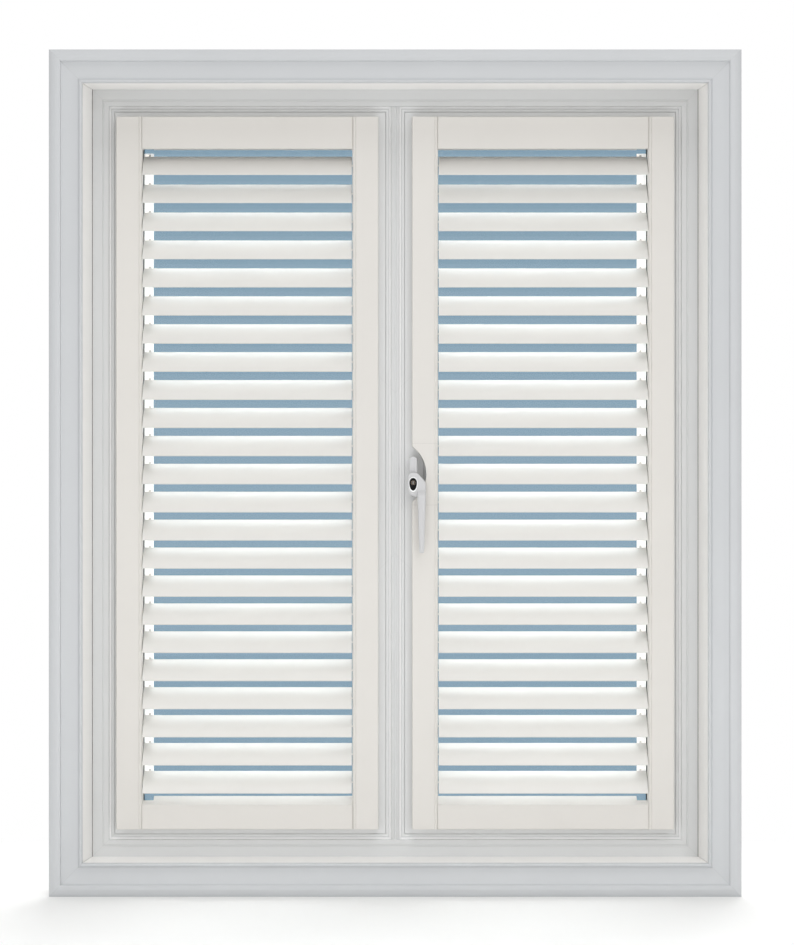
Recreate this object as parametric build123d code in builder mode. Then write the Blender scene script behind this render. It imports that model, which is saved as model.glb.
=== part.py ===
from build123d import *
import math
import os

os.makedirs("parts", exist_ok=True)

# A pair of louvred shutter panels on a double casement window, with the window's frame, lining and casing.
# X runs to the right seen from the room, Y away from the room and Z up, all in millimetres.
# The origin is the middle of the window frame's underside, on the frame's room face.

# Opening inside the lining, as seen from the room
opening_width = 1190.0
opening_height = 1506.0

# Window frame, mullion and their fixing holes
frame_depth = 70.0
frame_face = 33.5
frame_tuck = 12.0
frame_groove_inset = 19.5
frame_groove_width = 4.0
frame_groove_depth = 1.5
frame_edge_round = 2.5
mullion_face = 16.5
mullion_head_depth = 25.0
mullion_stem = 13.0
mullion_valley_width = 2.0
mullion_ridge = 1.6
fixing_radius = 3.75
fixing_depth = 40.0
fixed_side_fixing_inset = 300.0
hinge_side_fixing_inset = 320.0

# Casing boards, with their outline measured from the opening outwards and from the wall forwards
wall_depth = 106.0
casing_width = 64.0
casing_thickness = 18.0
casing_ease = 1.0
casing_bead = 8.5
casing_bead_thickness = 14.8
casing_cove = 32.0
casing_cove_thickness = 9.0
casing_cove_end_thickness = 12.0
casing_riser = 1.5
casing_edge_thickness = 12.0

# Lining boards, with the side boards flaring towards the room
lining_thickness = 12.0
lining_flare = 9.0

# Sashes
sash_gap = 3.0
sash_recess = 7.0
sash_face = 60.0
sash_edge = 2.0
sash_step_inset = 6.5
sash_step = 0.8
bead_width = 16.0
bead_joint = 0.8
bead_flat = 4.0
glass_channel = 10.0
glass_cover = 7.0
glass_thickness = 24.0
glass_seat = 0.3
glass_recess = 35.0
sash_lip = 6.0
sash_lip_ease = 5.0
flange_width = 9.0
flange_thickness = 6.0
flange_gap = 0.3

# Shutter panels
panel_inner_edge = 33.0
panel_outer_margin = 12.5
panel_end_margin = 19.0
panel_thickness = 29.0
stile_width = 50.8
top_rail_height = 63.0
bottom_rail_height = 48.5
bottom_rail_bevel = 14.5
quirk_inset = 5.4
quirk_width = 1.4
quirk_depth = 1.3
bead_sink = 0.2
bead_slope = 2.6
edge_ease = 1.2
cut_out_radius = 66.5
cut_out_centre = -5.5

# Blades
blade_count = 23
blade_width = 63.0
blade_thickness = 11.0
blade_nose = 1.6
blade_tilt = 38.0
blade_end_gap = 1.3
first_blade_gap = 32.0
last_blade_gap = 28.2
pivot_radius = 2.2
pivot_clearance = 0.35
pivot_length = 8.0
pivot_end_gap = 0.6
pivot_sides = 4

# Tilt bars behind the blades' outer ends, joined to every blade by a pin in an ear
tilt_bar_width = 18.0
tilt_bar_thickness = 2.0
tilt_bar_end = 4.0
tilt_bar_side_gap = 1.2
link_reach = 5.0
link_tip = 1.6
link_width = 4.0
link_side_gap = 0.4
link_pin_radius = 1.1
link_pin_clearance = 0.3
ear_wall = 1.4
link_standoff = 3.4
notch_clearance = 2.0
closed_tilt = 82.0

# Handle on the right sash, measured from its spindle
handle_x = 35.0
handle_height = 763.0
base_width = 16.5
base_length = 70.0
base_height = 21.0
collar_radius = 6.8
spindle_radius = 5.0
spindle_clearance = 0.06
spindle_length = 24.0
lever_gap = 0.3
head_back = 24.5
head_thickness = 14.0
head_edge = 1.8
head_left = 10.0
head_top = 3.0
head_shoulder = 8.0
head_round = 10.0
head_shoulder_round = 6.0
head_right_top = 16.0
head_right_bottom = 40.0
head_middle_bottom = 46.0
head_left_bottom = 39.0
arm_offset = 16.5
arm_reach = 154.0
arm_clearance = 2.0
arm_ease = 1.5
arm_thickness = 10.5
arm_width = 17.0
arm_tip_width = 9.5
arm_tip_thickness = 8.5
arm_tip_round = 4.0
arm_edge_share = 0.28
crank_start = 27.0
crank_middle = 36.0
crank_end = 43.0
lock_drop = 17.0
lock_radius = 4.4
lock_clearance = 0.06
lock_depth = 9.0
lock_stand = 0.5
key_slot_width = 1.3
key_slot_length = 5.2
key_slot_depth = 3.0

# Levels and half widths worked out from the sizes above
half_opening = opening_width / 2
opening_bottom = frame_tuck
opening_top = opening_bottom + opening_height
outer_half_width = half_opening + frame_tuck
outer_top = opening_top + frame_tuck
room_half_width = half_opening + lining_flare
clear_half_width = half_opening - frame_face
clear_bottom = opening_bottom + frame_face
clear_top = opening_top - frame_face

sash_inner_edge = mullion_face / 2 + sash_gap
sash_outer_edge = clear_half_width - sash_gap
sash_bottom = clear_bottom + sash_gap
sash_top = clear_top - sash_gap
sash_back = frame_depth + flange_gap + flange_thickness
glass_front = sash_recess + glass_recess

panel_outer_edge = sash_outer_edge - panel_outer_margin
panel_bottom = sash_bottom + panel_end_margin
panel_top = sash_top - panel_end_margin
panel_back = sash_recess
panel_front = panel_back - panel_thickness
stile_inner_near = panel_inner_edge + stile_width
stile_inner_far = panel_outer_edge - stile_width
top_rail_bottom = panel_top - top_rail_height
bottom_rail_front_top = panel_bottom + bottom_rail_height
bottom_rail_back_top = bottom_rail_front_top + bottom_rail_bevel

pivot_depth = (panel_front + panel_back) / 2
first_pivot = top_rail_bottom - first_blade_gap
last_pivot = bottom_rail_back_top + last_blade_gap
blade_pitch = (first_pivot - last_pivot) / (blade_count - 1)
blade_start = stile_inner_near + blade_end_gap
blade_end = stile_inner_far - blade_end_gap
blade_length = blade_end - blade_start

link_radius = blade_width / 2 + link_reach
tilt_bar_outer = stile_inner_far - tilt_bar_side_gap
tilt_bar_inner = tilt_bar_outer - tilt_bar_width
tab_centre = (tilt_bar_inner + tilt_bar_outer) / 2 - (link_width + link_side_gap) / 2
ear_centre = tab_centre + link_width + link_side_gap
ear_reach = link_pin_radius + link_pin_clearance + ear_wall

head_front = head_back + head_thickness
arm_back = blade_width / 2 - pivot_depth + arm_clearance


def facing_room(depth):
    """A plane at the given depth, drawn as seen from the room, whose normal points to the room."""
    return Plane(origin=(0, depth, 0), x_dir=(1, 0, 0), z_dir=(0, -1, 0))


def across(x):
    """A plane across the object at the given X, drawn with Y to the right and Z up."""
    return Plane(origin=(x, 0, 0), x_dir=(0, 1, 0), z_dir=(1, 0, 0))


def rectangle_path(left, right, bottom, top):
    """A closed rectangle in the plane Y = 0 that starts in the middle of its bottom side."""
    middle = (left + right) / 2
    with BuildLine() as path:
        Polyline(
            (middle, 0, bottom),
            (right, 0, bottom),
            (right, 0, top),
            (left, 0, top),
            (left, 0, bottom),
            (middle, 0, bottom),
        )
    return path.wire()


def path_section(middle, bottom):
    """The plane of a section at the start of a rectangle path: X is inwards and Y is towards the room."""
    return Plane(origin=(middle, 0, bottom), x_dir=(0, 0, 1), z_dir=(1, 0, 0))


def save(part, name):
    """Label a finished piece and write it under its name."""
    part.label = name
    export_step(part, f"parts/{name}.step")


# Casing: one moulded section round the opening, cut at its mitres into four boards
def make_casing():
    cove_end = casing_bead + casing_cove
    torus_start = cove_end + casing_riser
    torus_width = casing_width - torus_start
    with BuildPart() as ring:
        with BuildSketch(path_section(0, opening_bottom)):
            with BuildLine():
                wall = wall_depth
                Polyline(
                    (0, wall),
                    (0, wall + casing_bead_thickness - 2 * casing_ease),
                    (-casing_bead / 4, wall + casing_bead_thickness),
                    (-casing_bead / 2, wall + casing_bead_thickness),
                    (-casing_bead, wall + casing_cove_thickness + casing_ease),
                )
                ThreePointArc(
                    (-casing_bead, wall + casing_cove_thickness + casing_ease),
                    (-(casing_bead + cove_end) / 2, wall + casing_cove_thickness),
                    (-cove_end, wall + casing_cove_end_thickness),
                )
                Line(
                    (-cove_end, wall + casing_cove_end_thickness),
                    (-torus_start, wall + casing_thickness - casing_ease),
                )
                ThreePointArc(
                    (-torus_start, wall + casing_thickness - casing_ease),
                    (-torus_start - torus_width * 0.4, wall + casing_thickness),
                    (-casing_width, wall + casing_edge_thickness),
                )
                Polyline(
                    (-casing_width, wall + casing_edge_thickness),
                    (-casing_width, wall),
                    (0, wall),
                )
            make_face()
        sweep(
            path=rectangle_path(-room_half_width, room_half_width, opening_bottom, opening_top),
            transition=Transition.RIGHT,
        )

    inner = [
        (-room_half_width, opening_bottom),
        (room_half_width, opening_bottom),
        (room_half_width, opening_top),
        (-room_half_width, opening_top),
    ]
    outer = [
        (-room_half_width - casing_width, opening_bottom - casing_width),
        (room_half_width + casing_width, opening_bottom - casing_width),
        (room_half_width + casing_width, opening_top + casing_width),
        (-room_half_width - casing_width, opening_top + casing_width),
    ]
    boards = []
    for start in range(len(inner)):
        end = (start + 1) % len(inner)
        with BuildPart() as board:
            with BuildSketch(facing_room(-wall_depth)):
                with BuildLine():
                    Polyline(inner[start], inner[end], outer[end], outer[start], close=True)
                make_face()
            extrude(amount=casing_thickness)
            add(ring.part, mode=Mode.INTERSECT)
        boards.append(board.part)
    return Compound(children=[solid for board in boards for solid in board.solids()])


# Lining: flaring side boards between a flat head board and sill board, from the frame to the wall's room face
def make_lining():
    boards = []
    for side in (-1, 1):
        with BuildPart() as jamb:
            with BuildSketch(Plane.XY.offset(opening_bottom)):
                with BuildLine():
                    Polyline(
                        (side * half_opening, 0),
                        (side * room_half_width, -wall_depth),
                        (side * (room_half_width + lining_thickness), -wall_depth),
                        (side * (half_opening + lining_thickness), 0),
                        close=True,
                    )
                make_face()
            extrude(amount=opening_height)
        boards.append(jamb.part)
    back_half_width = half_opening + lining_thickness
    front_half_width = room_half_width + lining_thickness
    for level in (opening_bottom - lining_thickness, opening_top):
        with BuildPart() as board:
            with BuildSketch(Plane.XY.offset(level)):
                with BuildLine():
                    Polyline(
                        (-back_half_width, 0),
                        (-front_half_width, -wall_depth),
                        (front_half_width, -wall_depth),
                        (back_half_width, 0),
                        close=True,
                    )
                make_face()
            extrude(amount=lining_thickness)
        boards.append(board.part)
    return Compound(children=[solid for board in boards for solid in board.solids()])


# Window frame: a welded ring with a grooved face and the slim mullion that the sashes close against
def make_window_frame():
    face_width = frame_tuck + frame_face
    groove = frame_tuck + frame_groove_inset
    with BuildPart() as frame:
        with BuildSketch(path_section(0, 0)):
            with BuildLine():
                Polyline(
                    (0, 0),
                    (groove, 0),
                    (groove + frame_groove_width / 4, -frame_groove_depth),
                    (groove + frame_groove_width * 3 / 4, -frame_groove_depth),
                    (groove + frame_groove_width, 0),
                    (face_width - frame_edge_round, 0),
                )
                RadiusArc(
                    (face_width - frame_edge_round, 0),
                    (face_width, -frame_edge_round),
                    frame_edge_round,
                )
                Polyline(
                    (face_width, -frame_edge_round),
                    (face_width, -frame_depth),
                    (0, -frame_depth),
                    (0, 0),
                )
            make_face()
        sweep(
            path=rectangle_path(-outer_half_width, outer_half_width, 0, outer_top),
            transition=Transition.RIGHT,
        )
        with BuildSketch(Plane.XY.offset(clear_bottom)):
            with BuildLine():
                half_face = mullion_face / 2
                half_stem = mullion_stem / 2
                half_valley = mullion_valley_width / 2
                Line((-half_valley, mullion_ridge), (half_valley, mullion_ridge))
                ThreePointArc(
                    (half_valley, mullion_ridge),
                    ((half_valley + half_face) / 2, 0),
                    (half_face, mullion_ridge),
                )
                Polyline(
                    (half_face, mullion_ridge),
                    (half_face, mullion_head_depth),
                    (half_stem, mullion_head_depth),
                    (half_stem, frame_depth),
                    (-half_stem, frame_depth),
                    (-half_stem, mullion_head_depth),
                    (-half_face, mullion_head_depth),
                    (-half_face, mullion_ridge),
                )
                ThreePointArc(
                    (-half_face, mullion_ridge),
                    (-(half_valley + half_face) / 2, 0),
                    (-half_valley, mullion_ridge),
                )
            make_face()
        extrude(amount=clear_top - clear_bottom)
        for side, inset in ((-1, fixed_side_fixing_inset), (1, hinge_side_fixing_inset)):
            with BuildSketch(across(side * outer_half_width)):
                with Locations((fixing_depth, inset), (fixing_depth, outer_top - inset)):
                    Circle(fixing_radius)
            extrude(amount=-side * face_width, mode=Mode.SUBTRACT)
    return frame.part


# Sash: a welded ring with a stepped face, clipped glazing bead, glass channel and outer flange
def make_sash(side):
    left, right = sorted((side * sash_inner_edge, side * sash_outer_edge))
    bead_start = sash_face - bead_width
    glass_back = glass_front + glass_thickness
    channel = sash_face - glass_channel
    with BuildPart() as sash:
        with BuildSketch(path_section((left + right) / 2, sash_bottom)):
            with BuildLine():
                Polyline(
                    (0, -sash_recess - sash_edge),
                    (sash_edge, -sash_recess),
                    (sash_step_inset, -sash_recess),
                    (sash_step_inset + sash_step, -sash_recess - sash_step),
                    (sash_step_inset + 2 * sash_step, -sash_recess),
                    (bead_start, -sash_recess),
                    (bead_start + bead_joint / 2, -sash_recess - bead_joint),
                    (bead_start + bead_joint, -sash_recess),
                    (bead_start + bead_joint + bead_flat, -sash_recess),
                    (sash_face, -glass_front + bead_flat),
                    (sash_face, -glass_front + glass_seat),
                    (channel, -glass_front + glass_seat),
                    (channel, -glass_back - glass_seat),
                    (sash_face, -glass_back - glass_seat),
                    (sash_face, -glass_back - sash_lip),
                    (sash_face - sash_lip_ease, -sash_back),
                    (-flange_width, -sash_back),
                    (-flange_width, -sash_back + flange_thickness),
                    (0, -sash_back + flange_thickness),
                    close=True,
                )
            make_face()
        sweep(
            path=rectangle_path(left, right, sash_bottom, sash_top),
            transition=Transition.RIGHT,
        )
    return sash.part


# Glass: one sealed double-glazed unit for each sash
def make_glass(side):
    inset = sash_face - glass_cover
    left, right = sorted((side * (sash_inner_edge + inset), side * (sash_outer_edge - inset)))
    with BuildPart() as glass:
        with BuildSketch(facing_room(glass_front)):
            with Locations(((left + right) / 2, (sash_bottom + sash_top) / 2)):
                Rectangle(right - left, sash_top - sash_bottom - 2 * inset)
        extrude(amount=-glass_thickness)
    return glass.part


def pivot_levels():
    """The height of every blade's pivot, from the top down."""
    return [first_pivot - row * blade_pitch for row in range(blade_count)]


def pivot_grid():
    """The pivots' places on a plane across a stile."""
    return [(pivot_depth, level) for level in pivot_levels()]


# Panel frame: two stiles with a fine bead on their inner edges, a top rail and a bevelled bottom rail
def make_stile(side, outer):
    near, far = (panel_outer_edge, stile_inner_far) if outer else (panel_inner_edge, stile_inner_near)
    edge = math.copysign(1, far - near)
    hole_radius = (pivot_radius + pivot_clearance) / math.cos(math.pi / pivot_sides)
    with BuildPart() as stile:
        with BuildSketch(Plane.XY.offset(panel_bottom)):
            with BuildLine():
                bead_start = far - edge * quirk_inset
                quirk_end = bead_start - edge * quirk_width
                Polyline(
                    (side * far, panel_front + bead_slope),
                    (side * far, panel_back),
                    (side * near, panel_back),
                    (side * near, panel_front + edge_ease),
                    (side * (near + edge * edge_ease), panel_front),
                    (side * quirk_end, panel_front),
                    (side * (bead_start - edge * quirk_width / 2), panel_front + quirk_depth),
                    (side * bead_start, panel_front + bead_sink),
                    (side * (far - edge * bead_slope), panel_front + bead_sink),
                    close=True,
                )
            make_face()
        extrude(amount=panel_top - panel_bottom)
        with BuildSketch(across(side * far)):
            with Locations(*pivot_grid()):
                RegularPolygon(hole_radius, pivot_sides)
        extrude(amount=-side * edge * (pivot_length + pivot_end_gap), mode=Mode.SUBTRACT)
        if side > 0 and not outer:
            with BuildSketch(facing_room(panel_back)):
                with Locations((cut_out_centre, handle_height)):
                    Circle(cut_out_radius)
            extrude(amount=panel_thickness, mode=Mode.SUBTRACT)
    return stile.part


def make_rails(side):
    middle = side * (stile_inner_near + stile_inner_far) / 2
    width = stile_inner_far - stile_inner_near
    left = middle - width / 2
    bar_swing = link_radius * math.sin(math.radians(closed_tilt)) + tilt_bar_end + notch_clearance
    bar_nearest = link_radius * math.cos(math.radians(closed_tilt)) - ear_reach - notch_clearance
    notch_depth = panel_back - pivot_depth - bar_nearest
    notch_width = tilt_bar_width + tilt_bar_side_gap + notch_clearance
    notch_middle = side * (stile_inner_far - notch_width / 2)
    top_notch = first_pivot + bar_swing - top_rail_bottom
    bottom_notch = bottom_rail_back_top - last_pivot + bar_swing

    with BuildPart() as top_rail:
        with BuildSketch(across(left)):
            with BuildLine():
                Polyline(
                    (panel_back, top_rail_bottom),
                    (panel_back, panel_top),
                    (panel_front + edge_ease, panel_top),
                    (panel_front, panel_top - edge_ease),
                    (panel_front, top_rail_bottom + edge_ease),
                    (panel_front + edge_ease, top_rail_bottom),
                    close=True,
                )
            make_face()
        extrude(amount=width)
        with BuildSketch(facing_room(panel_back)):
            with Locations((notch_middle, top_rail_bottom + top_notch / 2)):
                Rectangle(notch_width, top_notch)
        extrude(amount=notch_depth, mode=Mode.SUBTRACT)

    with BuildPart() as bottom_rail:
        with BuildSketch(across(left)):
            with BuildLine():
                Polyline(
                    (panel_back, panel_bottom),
                    (panel_back, bottom_rail_back_top),
                    (panel_front, bottom_rail_front_top),
                    (panel_front, panel_bottom + edge_ease),
                    (panel_front + edge_ease, panel_bottom),
                    close=True,
                )
            make_face()
        extrude(amount=width)
        with BuildSketch(facing_room(panel_back)):
            with Locations((notch_middle, bottom_rail_back_top - bottom_notch / 2)):
                Rectangle(notch_width, bottom_notch)
        extrude(amount=notch_depth, mode=Mode.SUBTRACT)
    return [top_rail.part, bottom_rail.part]


def make_panel_frame(side):
    members = [make_stile(side, True), make_stile(side, False)] + make_rails(side)
    return Compound(children=[solid for member in members for solid in member.solids()])


def blade_plane(x):
    """A plane across a blade at rest at height 0: X runs along its width, to the back and up."""
    rise = math.radians(blade_tilt)
    return Plane(origin=(x, pivot_depth, 0), x_dir=(0, math.cos(rise), math.sin(rise)), z_dir=(1, 0, 0))


# Blade: a long lens section with a pivot at each end, and a tab at its back with the pin for the tilt bar
def make_blade(side):
    left = min(side * blade_start, side * blade_end)
    half = blade_width / 2
    tab_left = side * tab_centre - link_width / 2
    tab_length = link_reach + link_tip
    with BuildPart() as blade:
        with BuildSketch(blade_plane(left)):
            with BuildLine():
                Line((-half, blade_nose / 2), (-half, -blade_nose / 2))
                ThreePointArc((-half, -blade_nose / 2), (0, -blade_thickness / 2), (half, -blade_nose / 2))
                Line((half, -blade_nose / 2), (half, blade_nose / 2))
                ThreePointArc((half, blade_nose / 2), (0, blade_thickness / 2), (-half, blade_nose / 2))
            make_face()
        extrude(amount=blade_length)
        with BuildSketch(blade_plane(left - pivot_length)):
            RegularPolygon(pivot_radius, pivot_sides)
        extrude(amount=pivot_length)
        with BuildSketch(blade_plane(left + blade_length)):
            RegularPolygon(pivot_radius, pivot_sides)
        extrude(amount=pivot_length)
        with BuildSketch(blade_plane(tab_left)):
            with Locations((half + tab_length / 2, 0)):
                Rectangle(tab_length, blade_nose)
        extrude(amount=link_width)
        with BuildSketch(blade_plane(side * (tab_centre + link_width / 2))):
            with Locations((link_radius, 0)):
                RegularPolygon(link_pin_radius, pivot_sides)
        extrude(amount=side * (link_side_gap + link_width))
    return blade.part


# Tilt bar: a flat strip behind the blades, with an ear for every blade's pin
def make_tilt_bar(side):
    rise = math.radians(blade_tilt)
    link_depth = pivot_depth + link_radius * math.cos(rise)
    link_lift = link_radius * math.sin(rise)
    middle = side * (tilt_bar_inner + tilt_bar_outer) / 2
    top = first_pivot + link_lift + tilt_bar_end
    bottom = last_pivot + link_lift - tilt_bar_end
    eye = 2 * (link_pin_radius + link_pin_clearance)
    with BuildPart() as bar:
        with BuildSketch(facing_room(link_depth + link_standoff)):
            with Locations((middle, (top + bottom) / 2)):
                Rectangle(tilt_bar_width, top - bottom)
        extrude(amount=-tilt_bar_thickness)
        with BuildSketch(across(side * ear_centre - link_width / 2)):
            for level in pivot_levels():
                with Locations((link_depth + (link_standoff - ear_reach) / 2, level + link_lift)):
                    Rectangle(link_standoff + ear_reach, 2 * ear_reach)
                with Locations((link_depth, level + link_lift)):
                    Rectangle(eye, eye, mode=Mode.SUBTRACT)
        extrude(amount=link_width)
    return bar.part


def handle_plane(distance):
    """A plane at a distance in front of the window frame, drawn from the spindle as seen from the room."""
    return Plane(origin=(handle_x, -distance, handle_height), x_dir=(1, 0, 0), z_dir=(0, -1, 0))


def arm_plane(drop, distance):
    """A level plane across the lever's arm, drawn with X to the left and Y towards the room."""
    origin = (handle_x + arm_offset, -distance, handle_height - drop)
    return Plane(origin=origin, x_dir=(-1, 0, 0), z_dir=(0, 0, -1))


# Handle base: a long rounded boss on the sash, with a collar round the spindle's bore
def make_handle_base():
    with BuildPart() as base:
        with BuildSketch(handle_plane(-sash_recess)):
            SlotOverall(base_length, base_width, rotation=90)
        extrude(amount=base_height)
        with BuildSketch(handle_plane(-sash_recess)):
            Circle(collar_radius)
        extrude(amount=sash_recess + head_back - lever_gap)
        with BuildSketch(handle_plane(-sash_recess)):
            Circle(spindle_radius + spindle_clearance)
        extrude(amount=sash_recess + head_back, mode=Mode.SUBTRACT)
    return base.part


# Handle lever: a leaf-shaped head on a spindle, and an arm that cranks out to clear the blades
def make_handle_lever():
    arm_inner = arm_offset - arm_width / 2
    arm_outer = arm_offset + arm_width / 2
    arm_tip_back = arm_back + arm_ease + arm_tip_round / 2
    with BuildPart() as lever:
        with BuildSketch(handle_plane(head_back)) as head:
            with BuildLine():
                Polyline(
                    (-head_left, head_top),
                    (head_shoulder, head_top),
                    (arm_outer, -head_right_top),
                    (arm_outer, -head_right_bottom),
                    (arm_inner, -head_middle_bottom),
                    (-head_left, -head_left_bottom),
                    close=True,
                )
            make_face()
            fillet(head.vertices().group_by(Axis.Y)[-1].sort_by(Axis.X)[-1], head_shoulder_round)
            fillet(head.vertices().sort_by(Axis.X)[:2], head_round)
        extrude(amount=head_thickness)
        chamfer(lever.faces().sort_by(Axis.Y)[0].edges(), head_edge)
        with BuildSketch(handle_plane(head_back)):
            Circle(spindle_radius)
        extrude(amount=-spindle_length)
        for drop, width, thickness, back in (
            (crank_start, arm_width, head_thickness - 2 * arm_ease, head_back + arm_ease),
            (crank_middle, arm_width, arm_thickness + arm_ease, (head_back + arm_back) / 2),
            (crank_end, arm_width, arm_thickness, arm_back),
            (crank_end + arm_width, arm_width, arm_thickness, arm_back + arm_ease),
            (arm_reach - arm_tip_round, arm_tip_width, arm_tip_thickness, arm_back + arm_ease),
            (arm_reach, arm_tip_width - arm_tip_round, arm_tip_thickness - arm_tip_round, arm_tip_back),
        ):
            with BuildSketch(arm_plane(drop, back + thickness / 2)) as section:
                Rectangle(width, thickness)
                chamfer(section.vertices(), thickness * arm_edge_share)
        loft(ruled=True)
        with BuildSketch(handle_plane(head_front)):
            with Locations((0, -lock_drop)):
                Circle(lock_radius + lock_clearance)
        extrude(amount=-lock_depth, mode=Mode.SUBTRACT)
    return lever.part


# Lock plug: a short round plug with its key slot, turned in the lever's head by the key
def make_lock_plug():
    with BuildPart() as plug:
        with BuildSketch(handle_plane(head_front + lock_stand)):
            with Locations((0, -lock_drop)):
                Circle(lock_radius)
        extrude(amount=-(lock_stand + lock_depth - lever_gap))
        with BuildSketch(handle_plane(head_front + lock_stand)):
            with Locations((0, -lock_drop)):
                Rectangle(key_slot_width, key_slot_length)
        extrude(amount=-key_slot_depth, mode=Mode.SUBTRACT)
    return plug.part


save(make_casing(), "casing")
save(make_lining(), "reveal_lining")
save(make_window_frame(), "window_frame")

for side, hand in ((-1, "left"), (1, "right")):
    save(make_sash(side), f"{hand}_sash")
    save(make_glass(side), f"{hand}_glass")
    save(make_panel_frame(side), f"{hand}_panel_frame")
    save(make_tilt_bar(side), f"{hand}_tilt_bar")
    blade = make_blade(side)
    for row, level in enumerate(pivot_levels(), start=1):
        save(blade.moved(Location((0, 0, level))), f"{hand}_blade_{row:02d}")

save(make_handle_base(), "handle_base")
save(make_handle_lever(), "handle_lever")
save(make_lock_plug(), "lock_plug")
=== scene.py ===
import math
from collections import namedtuple

import bmesh
import bpy
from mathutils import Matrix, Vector


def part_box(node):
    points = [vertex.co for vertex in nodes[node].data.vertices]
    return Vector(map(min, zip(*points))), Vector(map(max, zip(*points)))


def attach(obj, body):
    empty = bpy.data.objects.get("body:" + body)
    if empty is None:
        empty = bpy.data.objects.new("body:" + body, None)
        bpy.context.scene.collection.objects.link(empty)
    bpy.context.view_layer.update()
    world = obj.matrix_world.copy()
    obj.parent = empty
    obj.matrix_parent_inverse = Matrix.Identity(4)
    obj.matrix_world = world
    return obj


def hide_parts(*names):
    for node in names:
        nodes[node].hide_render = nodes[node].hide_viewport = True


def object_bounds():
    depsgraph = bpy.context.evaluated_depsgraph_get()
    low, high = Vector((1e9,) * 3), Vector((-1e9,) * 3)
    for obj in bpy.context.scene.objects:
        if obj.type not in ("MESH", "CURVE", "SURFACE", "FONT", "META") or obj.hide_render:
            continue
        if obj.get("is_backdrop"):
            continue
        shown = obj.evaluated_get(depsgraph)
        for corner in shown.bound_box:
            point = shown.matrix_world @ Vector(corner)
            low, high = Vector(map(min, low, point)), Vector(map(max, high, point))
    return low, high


bl_info = {
    "name": "Louvred shutters",
    "version": (1, 0, 0),
    "blender": (4, 5, 0),
    "location": "3D View > Sidebar > Shutters",
    "description": "Paint, glass, seals, handle and studio for louvred shutters on a double window",
    "category": "Object",
}

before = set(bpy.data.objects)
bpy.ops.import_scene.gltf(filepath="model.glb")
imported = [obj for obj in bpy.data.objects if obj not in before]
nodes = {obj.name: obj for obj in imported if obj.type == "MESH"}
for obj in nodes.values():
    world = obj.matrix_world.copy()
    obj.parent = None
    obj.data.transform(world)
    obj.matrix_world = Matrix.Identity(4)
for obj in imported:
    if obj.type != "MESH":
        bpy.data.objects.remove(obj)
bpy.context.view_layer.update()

HANDS = ("left", "right")
BLADE_ROWS = 23

# The opening, whose lining meets the frame's front at Y = 0 and flares towards the room
LINING_THICKNESS = 0.012
frame_low, frame_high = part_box("window_frame")
lining_low, lining_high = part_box("reveal_lining")
OPENING_MIDDLE = (frame_low.z + frame_high.z) / 2
OPENING_HALF_WIDTH = frame_high.x - LINING_THICKNESS
OPENING_HALF_HEIGHT = (lining_high.z - lining_low.z) / 2 - LINING_THICKNESS
LINING_FLARE = lining_high.x - frame_high.x
LINING_SLOPE = LINING_FLARE / (lining_high.y - lining_low.y)

# Joint lines that materials draw
LINING_JOINT = 0.0022
# FRAME_JOINT is the width of the dark line on the frame beside the lining, partly painted shade in the
# joint
FRAME_JOINT = 0.0013
JOINT_EDGE = 0.0003
PRIMER_EDGE = 0.001
STILE_WIDTH = 0.0505
stile_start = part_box("right_panel_frame")[0].x
WELD_JOINTS = {
    "Middle Z": OPENING_MIDDLE,
    "Half width": OPENING_HALF_WIDTH,
    "Half height": OPENING_HALF_HEIGHT,
}
MITRE_JOINTS = {**WELD_JOINTS, "Half width": OPENING_HALF_WIDTH + LINING_FLARE}
LINING_JOINTS = {**WELD_JOINTS, "Flare": LINING_SLOPE, "Line": LINING_JOINT}
STILE_JOINTS = {
    "Low X": stile_start,
    "High X": stile_start + STILE_WIDTH,
    "Upper Z": 0.8231,
    "Lower Z": 0.7024,
}
JOINT_STRENGTH = 0.4
JOINT_SHADE = 0.45
JOINT_DEPTH = 6.0

# Paint and plastic: clouds in the colour, lowest roughness, fine grain and clear coat
Film = namedtuple(
    "Film", "cloud_scale cloud_amount roughness grain_scale grain_bump coat", defaults=(0.0,)
)
FILMS = {
    "shutter_paint": Film(5.0, 0.35, 0.38, 700.0, 0.25),
    "jointed_paint": Film(5.0, 0.35, 0.38, 700.0, 0.25),
    "blade_paint_painted_light": Film(7.0, 0.3, 0.34, 700.0, 0.2),
    "window_plastic": Film(3.0, 0.25, 0.3, 1500.0, 0.08, 0.15),
    "frame_plastic_painted_shade": Film(3.0, 0.25, 0.3, 1500.0, 0.08, 0.15),
    "casing_paint": Film(4.0, 0.4, 0.42, 500.0, 0.35),
    "lining_paint_painted_light": Film(4.0, 0.4, 0.45, 500.0, 0.35),
    "tilt_bar_coating": Film(20.0, 0.3, 0.35, 1200.0, 0.2),
    "handle_coating": Film(30.0, 0.3, 0.3, 1800.0, 0.3, 0.3),
    "lock_metal": Film(200.0, 0.5, 0.3, 3000.0, 0.2),
    "key_plate_black": Film(80.0, 0.4, 0.3, 2500.0, 0.1),
    "rim_painted_highlight": Film(30.0, 0.2, 0.2, 1800.0, 0.2, 0.4),
    "seal_rubber": Film(60.0, 0.4, 0.55, 2500.0, 0.2),
    "gasket_rubber_painted_light": Film(60.0, 0.4, 0.55, 2500.0, 0.2),
}
CLOUD_CONTRAST = 2.2
CLOUD_OFFSET = -0.6
CLOUD_SHADE = 0.93
ROUGHNESS_SPREAD = 0.12
BUMP_DISTANCE = 0.0001
COAT_ROUGHNESS = 0.2

# Tilt bars: share of light let through, and the strength of their painted glow, a light of their own
# though they are no lamp
TILT_BAR_LET_THROUGH = 0.7
TILT_BAR_PAINTED_GLOW = 0.7

# Glass
GLASS_IOR = 1.45
GLASS_SHADOW = (0.86, 0.86, 0.86, 1.0)
DUST_SCALE = 14.0
DUST_ROUGHNESS = 0.03
DUST_LIMIT = 0.005

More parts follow.
